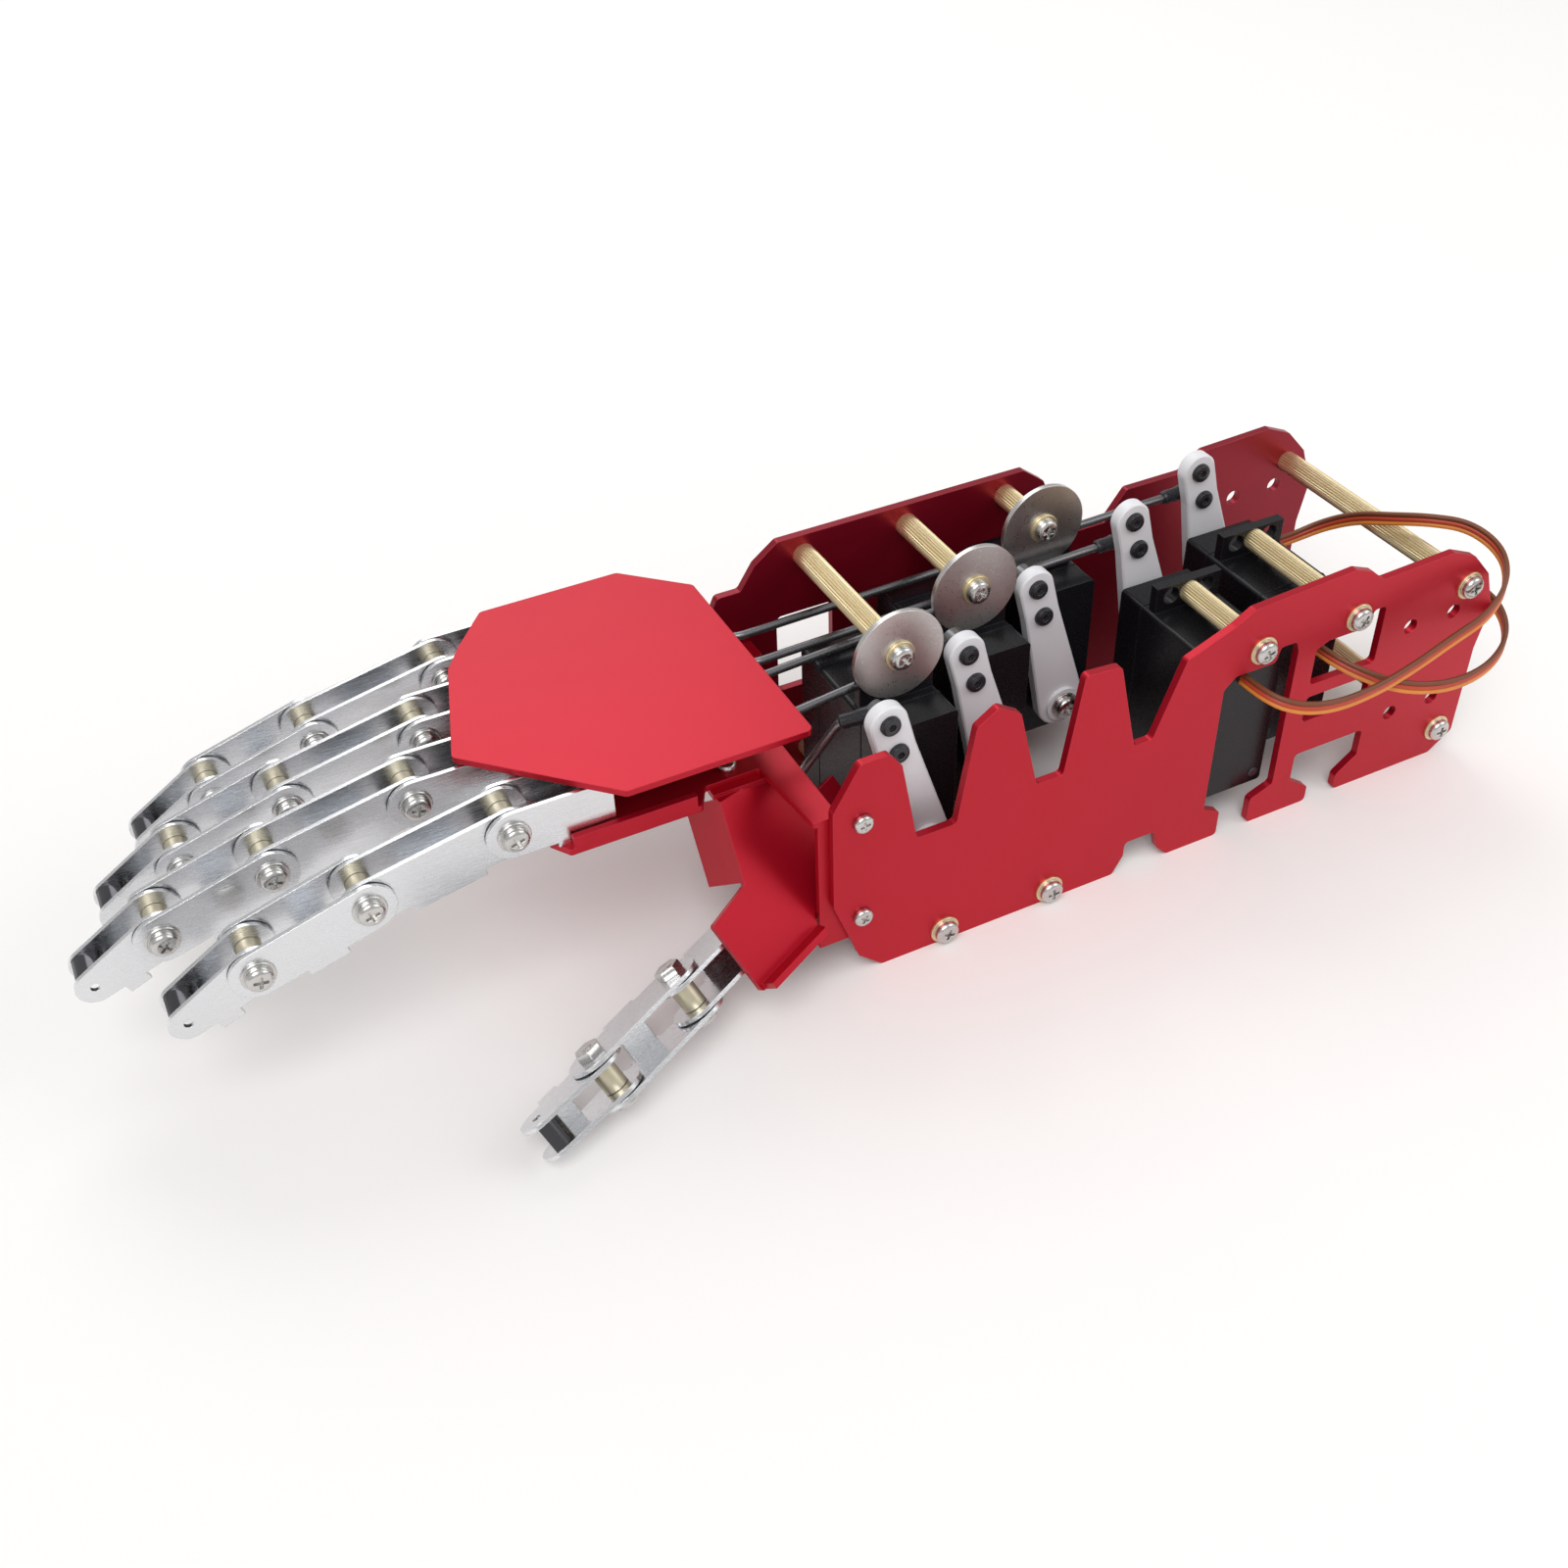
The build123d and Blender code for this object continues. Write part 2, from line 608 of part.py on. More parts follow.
def lead(name, points):
    """Limp lead laid in straight runs that tangent arcs join."""
    spots = [Vector(*point) for point in points]
    radii = []
    for before, corner, after in zip(spots, spots[1:], spots[2:]):
        turn = radians((corner - before).get_angle(after - corner))
        short = min((corner - before).length, (after - corner).length)
        radii.append(lead_run_share * short / tan(turn / 2))
    path = FilletPolyline(*spots, radius=radii)
    tube = sweep(Plane(origin=path @ 0, z_dir=path % 0) * Circle(lead_r), path=path)
    share = tube.volume / (pi * lead_r ** 2 * path.length)
    print(name, "length", round(path.length, 1), "volume share", round(share, 4))
    print(name, "tightest bend", round(min(radii), 1))
    return tube


def build():
    nodes = {
        "near_side_plate": near_side_plate(),
        "far_side_plate": far_side_plate(),
        "frame_standoffs": group(standoffs()),
        "servo_posts": group(servo_posts()),
        "clamp_discs": group(clamp_discs()),
        "frame_screws": group(frame_screws() + palm_screws()),
        "palm_base": palm_base(),
        "palm_cover": palm_cover(),
        "palm_posts": group(palm_posts()),
        "thumb_bracket": thumb_bracket(),
        "root_channels": group(root_channels()),
        "knuckle_screws": group(knuckle_screws()),
        "knuckle_bushes": group(knuckle_bushes()),
    }
    nodes["outer_lead"] = lead("outer_lead", outer_lead)
    nodes["inner_lead"] = lead("inner_lead", inner_lead)
    for n, servo in enumerate(servos):
        nodes["servo_" + str(n + 1)] = servo_case(servo)
        nodes["servo_shaft_" + str(n + 1)] = servo_shaft(servo)
        nodes["lever_" + str(n + 1)] = lever(servo)
        nodes["pull_rod_" + str(n + 1)] = pull_rod(n)
        nodes.update(digit_nodes(n))
    return nodes


def stand(nodes):
    """Vector that puts the origin under the middle of the object without its limp leads."""
    box = group([shape for name, shape in nodes.items() if not name.endswith("_lead")]).bounding_box()
    return Vector(-(box.min.X + box.max.X) / 2, -(box.min.Y + box.max.Y) / 2, -box.min.Z)


nodes = build()
shift = stand(nodes)
os.makedirs("parts", exist_ok=True)
for name, shape in nodes.items():
    export_step(Pos(*shift) * shape, "parts/" + name + ".step")
print("nodes", len(nodes), "origin shift", shift)
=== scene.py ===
import json
import math
import bpy
import bmesh
from mathutils import Matrix, Vector


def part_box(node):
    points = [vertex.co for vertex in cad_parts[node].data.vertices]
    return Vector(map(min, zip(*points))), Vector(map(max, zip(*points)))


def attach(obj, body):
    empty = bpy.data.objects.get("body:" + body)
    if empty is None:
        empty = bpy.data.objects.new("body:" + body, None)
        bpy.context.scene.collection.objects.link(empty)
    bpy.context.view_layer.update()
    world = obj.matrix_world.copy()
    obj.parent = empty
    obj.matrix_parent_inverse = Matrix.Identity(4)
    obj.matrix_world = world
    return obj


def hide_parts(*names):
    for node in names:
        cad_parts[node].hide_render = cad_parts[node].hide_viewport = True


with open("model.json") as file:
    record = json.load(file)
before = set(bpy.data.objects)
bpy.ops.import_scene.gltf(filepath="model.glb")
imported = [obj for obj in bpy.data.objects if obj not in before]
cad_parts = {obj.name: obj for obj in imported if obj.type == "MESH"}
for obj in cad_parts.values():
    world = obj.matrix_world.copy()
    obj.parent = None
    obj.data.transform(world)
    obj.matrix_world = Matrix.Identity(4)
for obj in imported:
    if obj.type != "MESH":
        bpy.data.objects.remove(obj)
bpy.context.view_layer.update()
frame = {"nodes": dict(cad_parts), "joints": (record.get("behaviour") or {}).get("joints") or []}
mm = 0.001
cadNodes = frame["nodes"]
jointByName = {joint["name"]: joint for joint in frame["joints"]}
digitNames = ["thumb", "index", "middle", "ring", "little"]
servoCount = 5
frontCount = 3  # the first three servos stand at the front, the others at the rear
facing = 0.9  # share of a unit vector that counts as pointing that way
quarterTurn = math.pi / 2
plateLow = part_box("near_side_plate")[0]
plateCorner = Vector((-28.5, 0.0, 0.0)) * mm  # the near plate's lowest corner on the drawing
print("frame loaded", len(cadNodes), "nodes")


# place of a point given in the drawing's millimetres, where y = 0 is the near plate's outer face
def onDrawing(point):
    return plateLow + Vector(point) * mm - plateCorner


# shared steps

def deselectAll():
    if bpy.context.mode != "OBJECT":
        bpy.ops.object.mode_set(mode="OBJECT")
    bpy.ops.object.select_all(action="DESELECT")


# selects these pieces alone and makes the first one active
def pickPieces(pieces):
    deselectAll()
    for piece in pieces:
        piece.select_set(True)
    bpy.context.view_layer.objects.active = pieces[0]


def addObject(name, data):
    thing = bpy.data.objects.new(name, data)
    bpy.context.scene.collection.objects.link(thing)
    return thing


# puts the piece's place into its mesh and leaves the object at the origin
def settleMesh(piece):
    bpy.context.view_layer.update()
    piece.data.transform(piece.matrix_world)
    piece.matrix_world = Matrix.Identity(4)


# puts the piece's origin on the seat, with its Z along the direction
def placeAt(piece, seat, direction, spin=0.0):
    turn = Vector(direction).to_track_quat("Z", "Y").to_matrix().to_4x4()
    piece.matrix_world = Matrix.Translation(seat) @ turn @ Matrix.Rotation(spin, 4, "Z")
    settleMesh(piece)
    return piece


def copyTo(master, name, seat, direction, spin=0.0):
    return placeAt(addObject(name, master.data.copy()), seat, direction, spin)


def joinPieces(pieces, name):
    pickPieces(pieces)
    bpy.ops.object.join()
    joined = bpy.context.active_object
    joined.name = name
    return joined


def cutAway(piece, cutter):
    pickPieces([piece])
    cut = piece.modifiers.new("cut", "BOOLEAN")
    cut.operation = "DIFFERENCE"
    cut.object = cutter
    cut.solver = "EXACT"
    bpy.ops.object.modifier_apply(modifier=cut.name)
    bpy.data.objects.remove(cutter)


def smoothBy(piece, degrees):
    pickPieces([piece])
    bpy.ops.object.shade_smooth_by_angle(angle=math.radians(degrees))


# in edit mode: selects the faces that point up, and those that point down where asked
def selectEnds(piece, downToo=False):
    bpy.ops.mesh.select_mode(type="FACE")
    bpy.ops.mesh.select_all(action="DESELECT")
    shape = bmesh.from_edit_mesh(piece.data)
    for face in shape.faces:
        face.select = face.normal.z > facing or (downToo and face.normal.z < -facing)
    shape.select_flush_mode()
    bmesh.update_edit_mesh(piece.data)


# rings of a turned profile, each given as a share of the radius and of the height
def ringsOf(radius, tall, shares, low=0.0):
    return [(radius * wide, low + tall * high) for wide, high in shares]


# round piece along Z: a cylinder whose top is extruded and scaled to each further ring
def addTurned(name, rings, sides):
    radius, low = rings[0]
    topRadius, top = rings[1]
    deselectAll()
    bpy.ops.mesh.primitive_cylinder_add(vertices=sides, radius=radius, depth=top - low,
                                        location=(0, 0, (low + top) / 2))
    piece = bpy.context.active_object
    piece.name = name
    settleMesh(piece)
    bpy.ops.object.mode_set(mode="EDIT")
    selectEnds(piece)
    share = topRadius / radius
    bpy.ops.transform.resize(value=(share, share, 1), center_override=(0, 0, top))
    for (before, start), (after, end) in zip(rings[1:], rings[2:]):
        share = after / before
        bpy.ops.mesh.extrude_region_move(TRANSFORM_OT_translate={"value": (0, 0, end - start)})
        bpy.ops.transform.resize(value=(share, share, 1), center_override=(0, 0, end))
    bpy.ops.object.mode_set(mode="OBJECT")
    return piece


# camera and studio

cameraSet = {"place": (-153.0, -241.7, 288.3),  # on the drawing, fitted to the photo with the next three
             "right": (0.8947, -0.4457, -0.0273), "up": (0.3062, 0.568, 0.7638), "lens": 39.85,
             "sensor": 36.0, "nearest": 10 * mm}
keyPlace = (-0.55, -0.75, 1.25)
lampSet = [
    {"name": "keyLamp", "place": keyPlace, "size": 0.8, "power": 3.5},
    {"name": "fillLamp", "place": (0.85, -0.55, 0.75), "size": 0.8, "power": 2.6},
    {"name": "backLamp", "place": (0.1, 0.95, 1.0), "size": 0.9, "power": 4.0},
]
studioSet = {"floorSize": 12.0, "floorColor": (0.90, 0.885, 0.875, 1.0), "floorRoughness": 0.75,
             "worldColor": (1.0, 0.995, 0.99, 1.0), "worldLight": 0.56,
             "worldSeen": 0.84,  # where the camera looks straight at it
             "sunPower": 1.0, "sunSpread": 0.7}


def makeCamera(settings):
    right = Vector(settings["right"]).normalized()
    up = Vector(settings["up"])
    up = (up - right * up.dot(right)).normalized()
    data = bpy.data.cameras.new("photoCamera")
    data.lens = settings["lens"]
    data.sensor_width = settings["sensor"]
    data.clip_start = settings["nearest"]
    camera = addObject("photoCamera", data)
    turn = Matrix((right, up, right.cross(up))).transposed().to_4x4()
    camera.matrix_world = Matrix.Translation(onDrawing(settings["place"])) @ turn
    bpy.context.scene.camera = camera


# turn of a light that stands at the place and shines on the hand
def aimFrom(place):
    return (-Vector(place)).to_track_quat("-Z", "Y").to_euler()


def makeLamp(settings):
    data = bpy.data.lights.new(settings["name"], "AREA")
    data.shape = "DISK"
    data.size = settings["size"]
    data.energy = settings["power"]
    lamp = addObject(settings["name"], data)
    lamp.location = settings["place"]
    lamp.rotation_euler = aimFrom(settings["place"])


# even light on the whole floor, from the key lamp's side
def makeSun(settings):
    data = bpy.data.lights.new("sun", "SUN")
    data.energy = settings["sunPower"]
    data.angle = settings["sunSpread"]
    sun = addObject("sun", data)
    sun.rotation_euler = aimFrom(keyPlace)


def makeWorld(settings):
    world = bpy.data.worlds.new("studioWorld")
    bpy.context.scene.world = world
    world.use_nodes = True
    tree = world.node_tree
    sky = tree.nodes["Background"]
    sky.inputs["Color"].default_value = settings["worldColor"]
    path = tree.nodes.new("ShaderNodeLightPath")
    strength = tree.nodes.new("ShaderNodeMapRange")
    strength.inputs["To Min"].default_value = settings["worldLight"]
    strength.inputs["To Max"].default_value = settings["worldSeen"]
    tree.links.new(path.outputs["Is Camera Ray"], strength.inputs["Value"])
    tree.links.new(strength.outputs["Result"], sky.inputs["Strength"])


# new material with its node tree and its shader
def newPaint(name):
    paint = bpy.data.materials.new(name)
    paint.use_nodes = True
    return paint, paint.node_tree, paint.node_tree.nodes["Principled BSDF"]


def makeFloor(settings):
    deselectAll()
    bpy.ops.mesh.primitive_plane_add(size=settings["floorSize"], location=(0, 0, 0))
    floor = bpy.context.active_object
    floor.name = "floorSheet"
    paint, tree, shader = newPaint("floorPaint")
    shader.inputs["Base Color"].default_value = settings["floorColor"]
    shader.inputs["Roughness"].default_value = settings["floorRoughness"]
    floor.data.materials.append(paint)


makeCamera(cameraSet)
for lamp in lampSet:
    makeLamp(lamp)
makeSun(studioSet)
makeWorld(studioSet)
makeFloor(studioSet)
bpy.context.scene.view_settings.view_transform = "Standard"
print("camera and studio ready")


# finishes

# the edge mask starts where the softened normal matches the true one less than "flat"
edgeSet = {"radius": 0.25 * mm, "samples": 4, "flat": 0.995, "sharp": 0.80}
grainSet = {"fine": 2500.0, "wide": 45.0, "fineDetail": 3.0, "wideDetail": 2.0,
            "low": 0.3, "high": 0.7, "tall": 0.05 * mm}
colorInputs = (6, 7)  # numbers of a Mix node's two colour inputs
colorOutput = 2


def addSocket(group, name, kind, way, value=None):
    socket = group.interface.new_socket(name=name, in_out=way, socket_type=kind)
    if value is not None:
        socket.default_value = value


# softened normal at sharp edges, and a mask of where those edges are
def makeEdgeGroup(settings):
    group = bpy.data.node_groups.new("edgeLight", "ShaderNodeTree")
    addSocket(group, "Radius", "NodeSocketFloat", "INPUT", settings["radius"])
    addSocket(group, "Edge", "NodeSocketFloat", "OUTPUT")
    addSocket(group, "Normal", "NodeSocketVector", "OUTPUT")
    source = group.nodes.new("NodeGroupInput")
    sink = group.nodes.new("NodeGroupOutput")
    soft = group.nodes.new("ShaderNodeBevel")
    soft.samples = settings["samples"]
    geometry = group.nodes.new("ShaderNodeNewGeometry")
    match = group.nodes.new("ShaderNodeVectorMath")
    match.operation = "DOT_PRODUCT"
    spread = group.nodes.new("ShaderNodeMapRange")
    spread.inputs["From Min"].default_value = settings["flat"]
    spread.inputs["From Max"].default_value = settings["sharp"]
    group.links.new(source.outputs["Radius"], soft.inputs["Radius"])
    group.links.new(soft.outputs["Normal"], match.inputs[0])
    group.links.new(geometry.outputs["True Normal"], match.inputs[1])
    group.links.new(match.outputs["Value"], spread.inputs["Value"])
    group.links.new(spread.outputs["Result"], sink.inputs["Edge"])
    group.links.new(soft.outputs["Normal"], sink.inputs["Normal"])
    return group


# a fine grain, stretched on brushed sheet and turned brass, and a wide cloud
def makeGrainGroup(settings):
    group = bpy.data.node_groups.new("surfaceGrain", "ShaderNodeTree")
    addSocket(group, "Stretch", "NodeSocketVector", "INPUT", (1.0, 1.0, 1.0))
    addSocket(group, "Fine", "NodeSocketFloat", "INPUT", settings["fine"])
    addSocket(group, "Wide", "NodeSocketFloat", "INPUT", settings["wide"])
    addSocket(group, "Grain", "NodeSocketFloat", "OUTPUT")
    addSocket(group, "Cloud", "NodeSocketFloat", "OUTPUT")
    source = group.nodes.new("NodeGroupInput")
    sink = group.nodes.new("NodeGroupOutput")
    place = group.nodes.new("ShaderNodeTexCoord")
    pull = group.nodes.new("ShaderNodeVectorMath")
    pull.operation = "MULTIPLY"
    fine = group.nodes.new("ShaderNodeTexNoise")
    fine.inputs["Detail"].default_value = settings["fineDetail"]
    wide = group.nodes.new("ShaderNodeTexNoise")
    wide.inputs["Detail"].default_value = settings["wideDetail"]
    group.links.new(place.outputs["Object"], pull.inputs[0])
    group.links.new(source.outputs["Stretch"], pull.inputs[1])
    group.links.new(pull.outputs["Vector"], fine.inputs["Vector"])
    group.links.new(source.outputs["Fine"], fine.inputs["Scale"])
    group.links.new(place.outputs["Object"], wide.inputs["Vector"])
    group.links.new(source.outputs["Wide"], wide.inputs["Scale"])
    group.links.new(fine.outputs["Fac"], sink.inputs["Grain"])
    group.links.new(wide.outputs["Fac"], sink.inputs["Cloud"])
    return group


edgeGroup = makeEdgeGroup(edgeSet)
grainGroup = makeGrainGroup(grainSet)


def useGroup(tree, group, **values):
    node = tree.nodes.new("ShaderNodeGroup")
    node.node_tree = group
    for name, value in values.items():
        node.inputs[name].default_value = value
    return node


# gives a socket another node's output, a colour or a number
def feed(tree, socket, value):
    if isinstance(value, bpy.types.NodeSocket):
        tree.links.new(value, socket)
    elif isinstance(value, tuple):
        socket.default_value = (*value, 1.0)
    else:
        socket.default_value = value


def mixColor(tree, mask, first, second, blend="MIX"):
    mix = tree.nodes.new("ShaderNodeMix")
    mix.data_type = "RGBA"
    mix.blend_type = blend
    feed(tree, mix.inputs["Factor"], mask)
    feed(tree, mix.inputs[colorInputs[0]], first)
    feed(tree, mix.inputs[colorInputs[1]], second)
    return mix.outputs[colorOutput]


def addBump(tree, shader, grain, strength):
    bump = tree.nodes.new("ShaderNodeBump")
    bump.inputs["Strength"].default_value = strength
    bump.inputs["Distance"].default_value = grainSet["tall"]
    tree.links.new(grain.outputs["Grain"], bump.inputs["Height"])
    tree.links.new(bump.outputs["Normal"], shader.inputs["Normal"])
    return bump


plainFinish = {"gloss": 0.5, "stretch": (1, 1, 1), "wide": grainSet["wide"], "wearAndHighlight": 0.3}


# one finish: colour that drifts a little, edges painted brighter as partly wear and partly painted
# highlight, grain in roughness and in bump
def makeFinish(name, changes):
    settings = {**plainFinish, **changes}
    paint, tree, shader = newPaint(name)
    shader.inputs["Metallic"].default_value = settings["metal"]
    shader.inputs["Specular IOR Level"].default_value = settings["gloss"]
    grain = useGroup(tree, grainGroup, Stretch=settings["stretch"], Fine=settings["fine"],
                     Wide=settings["wide"])
    edge = useGroup(tree, edgeGroup, Radius=edgeSet["radius"])
    drift = mixColor(tree, grain.outputs["Cloud"], settings["dark"], settings["light"])
    # share of the edge mask by which the edge colour is painted over the edges: partly wear, partly
    # painted highlight
    wearAndHighlight = tree.nodes.new("ShaderNodeMath")
    wearAndHighlight.operation = "MULTIPLY"
    wearAndHighlight.inputs[1].default_value = settings["wearAndHighlight"]
    tree.links.new(edge.outputs["Edge"], wearAndHighlight.inputs[0])
    wornAndHighlit = mixColor(tree, wearAndHighlight.outputs[0], drift, settings["edge"])
    tree.links.new(wornAndHighlit, shader.inputs["Base Color"])
    rough = tree.nodes.new("ShaderNodeMapRange")
    rough.inputs["From Min"].default_value = grainSet["low"]
    rough.inputs["From Max"].default_value = grainSet["high"]
    rough.inputs["To Min"].default_value = settings["rough"][0]
    rough.inputs["To Max"].default_value = settings["rough"][1]
    tree.links.new(grain.outputs["Grain"], rough.inputs["Value"])
    tree.links.new(rough.outputs["Result"], shader.inputs["Roughness"])
    bump = addBump(tree, shader, grain, settings["bump"])
    tree.links.new(edge.outputs["Normal"], bump.inputs["Normal"])
    return paint


# each edge colour is painted on the sharp edges: partly bare wear, partly painted highlight
finishSet = {
    "redSheet": {"dark": (0.42, 0.002, 0.014), "light": (0.51, 0.004, 0.022), "edge": (0.82, 0.08, 0.14),
                 "metal": 0.55, "rough": (0.30, 0.38), "bump": 0.2, "fine": 5200.0, "wearAndHighlight": 0.5,
                 "wide": 14.0},
    # darker copy of redSheet for the far plate: painted shade on its inner face
    "redPaintedShade": {"dark": (0.22, 0.003, 0.014), "light": (0.29, 0.004, 0.019), "edge": (0.75, 0.08, 0.14),
                 "metal": 0.55, "rough": (0.30, 0.38), "bump": 0.2, "fine": 5200.0, "wearAndHighlight": 0.5,
                 "wide": 14.0},
    "brightSheet": {"dark": (0.72, 0.73, 0.75), "light": (0.80, 0.81, 0.83), "edge": (0.95, 0.95, 0.96),
                    "metal": 1.0, "rough": (0.20, 0.32), "bump": 0.25, "fine": 2600.0,
                    "stretch": (0.06, 1, 1), "wearAndHighlight": 0.6},
    "noseSteel": {"dark": (0.07, 0.07, 0.075), "light": (0.13, 0.13, 0.14), "edge": (0.6, 0.6, 0.62),
                  "metal": 1.0, "rough": (0.10, 0.18), "bump": 0.1, "fine": 2500.0},
    "turnedBrass": {"dark": (0.66, 0.53, 0.30), "light": (0.80, 0.68, 0.43), "edge": (0.97, 0.90, 0.68),
                    "metal": 0.85, "rough": (0.30, 0.42), "bump": 0.2, "fine": 2200.0,
                    "stretch": (1, 0.08, 1)},
    "paleBrass": {"dark": (0.58, 0.52, 0.38), "light": (0.72, 0.66, 0.50), "edge": (0.95, 0.90, 0.76),
                  "metal": 0.8, "rough": (0.30, 0.44), "bump": 0.2, "fine": 2200.0,
                  "stretch": (1, 0.08, 1)},
    "screwSteel": {"dark": (0.50, 0.49, 0.48), "light": (0.68, 0.67, 0.65), "edge": (0.96, 0.95, 0.93),
                   "metal": 1.0, "rough": (0.18, 0.32), "bump": 0.2, "fine": 3000.0, "wearAndHighlight": 0.7},
    "discSteel": {"dark": (0.54, 0.53, 0.52), "light": (0.68, 0.67, 0.65), "edge": (0.92, 0.91, 0.88),
                  "metal": 1.0, "rough": (0.26, 0.40), "bump": 0.3, "fine": 2600.0, "wearAndHighlight": 0.8},
    "rodSteel": {"dark": (0.14, 0.14, 0.15), "light": (0.26, 0.26, 0.27), "edge": (0.5, 0.5, 0.52),
                 "metal": 0.9, "rough": (0.24, 0.38), "bump": 0.15, "fine": 2500.0},
    "caseBlack": {"dark": (0.005, 0.005, 0.006), "light": (0.010, 0.010, 0.012),
                  "edge": (0.05, 0.05, 0.06), "metal": 0.0, "rough": (0.20, 0.34), "bump": 0.3,
                  "fine": 3400.0, "wearAndHighlight": 0.7, "gloss": 0.28},
    "leverWhite": {"dark": (0.68, 0.68, 0.71), "light": (0.80, 0.80, 0.83), "edge": (0.92, 0.92, 0.94),
                   "metal": 0.0, "rough": (0.30, 0.46), "bump": 0.3, "fine": 2000.0},
    "linkBlack": {"dark": (0.015, 0.015, 0.018), "light": (0.03, 0.03, 0.034),
                  "edge": (0.25, 0.25, 0.27), "metal": 0.3, "rough": (0.20, 0.34), "bump": 0.2,
                  "fine": 2500.0, "wearAndHighlight": 0.6},
}
finishes = {name: makeFinish(name, changes) for name, changes in finishSet.items()}


def finishOf(node):
    # the far plate takes the darker red copy: painted shade
    if node == "far_side_plate":
        return "redPaintedShade"
    if node in ("near_side_plate", "palm_base", "palm_cover", "thumb_bracket"):
        return "redSheet"
    if node == "clamp_discs":
        return "discSteel"
    if node in ("frame_standoffs", "servo_posts", "palm_posts"):
        return "turnedBrass"
    if node.endswith("_bushes"):
        return "paleBrass"
    if node.endswith("screws") or node.startswith("servo_shaft"):
        return "screwSteel"
    if node.startswith("pull_rod"):
        return "rodSteel"
    if node.startswith("servo_"):
        return "caseBlack"
    if node.startswith("lever_"):
        return "leverWhite"
    return "brightSheet"  # root channels and phalanges


def giveFinish(piece, name):
    piece.data.materials.clear()
    piece.data.materials.append(finishes[name])


for nodeName, nodeObject in cadNodes.items():
    for slot in nodeObject.material_slots:
        slot.material = finishes[finishOf(nodeName)]
print("finishes ready", len(finishes))


# places of screws and posts, read from the solids

sameSpot = 0.001 * mm
sameLevel = 0.01 * mm
orderPlaces = 4  # decimals of a metre by which the solids of one node are put in order


def boxOf(points):
    low = Vector([min(p[k] for p in points) for k in range(3)])
    high = Vector([max(p[k] for p in points) for k in range(3)])
    return low, high


# all vertices that edges join to this one, taken out of those that are left
def takeIsland(first, left):
    found, border = [first], [first]
    while border:
        vert = border.pop()
        for edge in vert.link_edges:
            other = edge.other_vert(vert)
            if other in left:
                left.remove(other)
                found.append(other)
                border.append(other)
    return [vert.co.copy() for vert in found]


# vertex places of each separate solid of a node, from a merged copy of its mesh
def islandsOf(nodeName):
    shape = bmesh.new()
    shape.from_mesh(cadNodes[nodeName].data)
    bmesh.ops.remove_doubles(shape, verts=shape.verts, dist=sameSpot)
    left = set(shape.verts)
    islands = []
    while left:
        islands.append(takeIsland(left.pop(), left))
    shape.free()
    return sorted(islands, key=lambda points: tuple(round(v, orderPlaces) for v in boxOf(points)[0]))


# place under a straight screw's washer, and the way that its head points
def screwSeat(points, headHigh):
    low, high = boxOf(points)
    spans = [high[k] - low[k] for k in range(3)]
    typical = sorted(spans)[1]
    axis = max(range(3), key=lambda k: abs(spans[k] - typical))  # the other two spans are the washer's
    middle = (low + high) / 2

    def endRadius(level):
        near = [p for p in points if abs(p[axis] - level) < sameLevel]
        return max(math.hypot(*[p[k] - middle[k] for k in range(3) if k != axis]) for p in near)

    way = 1.0 if endRadius(high[axis]) > endRadius(low[axis]) else -1.0
    direction = Vector([way if k == axis else 0.0 for k in range(3)])
    seat = middle.copy()
    seat[axis] = (high[axis] if way > 0 else low[axis]) - way * headHigh
    return seat, direction


# screws

screwSet = {"headRadius": 2.9 * mm, "headTall": 1.9 * mm,
            "headShares": ((1, 0), (1, 0.45), (0.94, 0.72), (0.80, 0.90), (0.58, 1)),
            "washerRadius": 3.6 * mm, "washerThick": 0.6 * mm,
            "washerShares": ((1, 0), (1, 0.75), (0.96, 1)),
            "crossLong": 3.1 * mm, "crossWide": 0.8 * mm, "crossDeep": 1.1 * mm, "sides": 32, "smooth": 35,
            "shankRadius": 1.5 * mm, "shankSides": 16,
            "cheekOut": 5.5 * mm,  # from a joint's middle to the outer cheek
            "frameSpin": 0.7, "hingeSpin": 1.1, "nutSpin": 0.6}  # turn from one screw to the next

plainSet = {**screwSet, "headRadius": 2.3 * mm, "headTall": 1.5 * mm, "washerRadius": 1.9 * mm,
            "washerThick": 0.1 * mm, "crossLong": 2.5 * mm, "crossWide": 0.65 * mm, "crossDeep": 0.8 * mm,
            "reachUnder": 5.0 * mm}  # screws that reach less than this have no washer

nutSet = {"across": 3.1 * mm, "tall": 2.2 * mm, "sides": 6, "smooth": 30,
          "shares": ((0.94, 0), (1, 0.14), (1, 0.86), (0.94, 1)),
          "endLong": 2.4 * mm, "endShares": ((1, 0), (1, 0.94), (0.8, 1)), "endSides": 20}


# pan head with a cross recess, over a washer with an eased rim; the seat is the XY plane
def makeScrewHead(settings, name, washerFinish):
    low = settings["washerThick"]
    rings = ringsOf(settings["headRadius"], settings["headTall"], settings["headShares"], low)
    head = addTurned("screwHead", rings, settings["sides"])
    top = low + settings["headTall"]
    for turn in (0, quarterTurn):
        deselectAll()
        bpy.ops.mesh.primitive_cube_add(size=1, location=(0, 0, top), rotation=(0, 0, turn))
        cutter = bpy.context.active_object
        cutter.scale = (settings["crossLong"], settings["crossWide"], settings["crossDeep"] * 2)
        settleMesh(cutter)
        cutAway(head, cutter)
    rings = ringsOf(settings["washerRadius"], low, settings["washerShares"])
    washer = addTurned("washer", rings, settings["sides"])
    giveFinish(head, "screwSteel")
    giveFinish(washer, washerFinish)
    screw = joinPieces([head, washer], name)
    smoothBy(screw, settings["smooth"])
    return screw


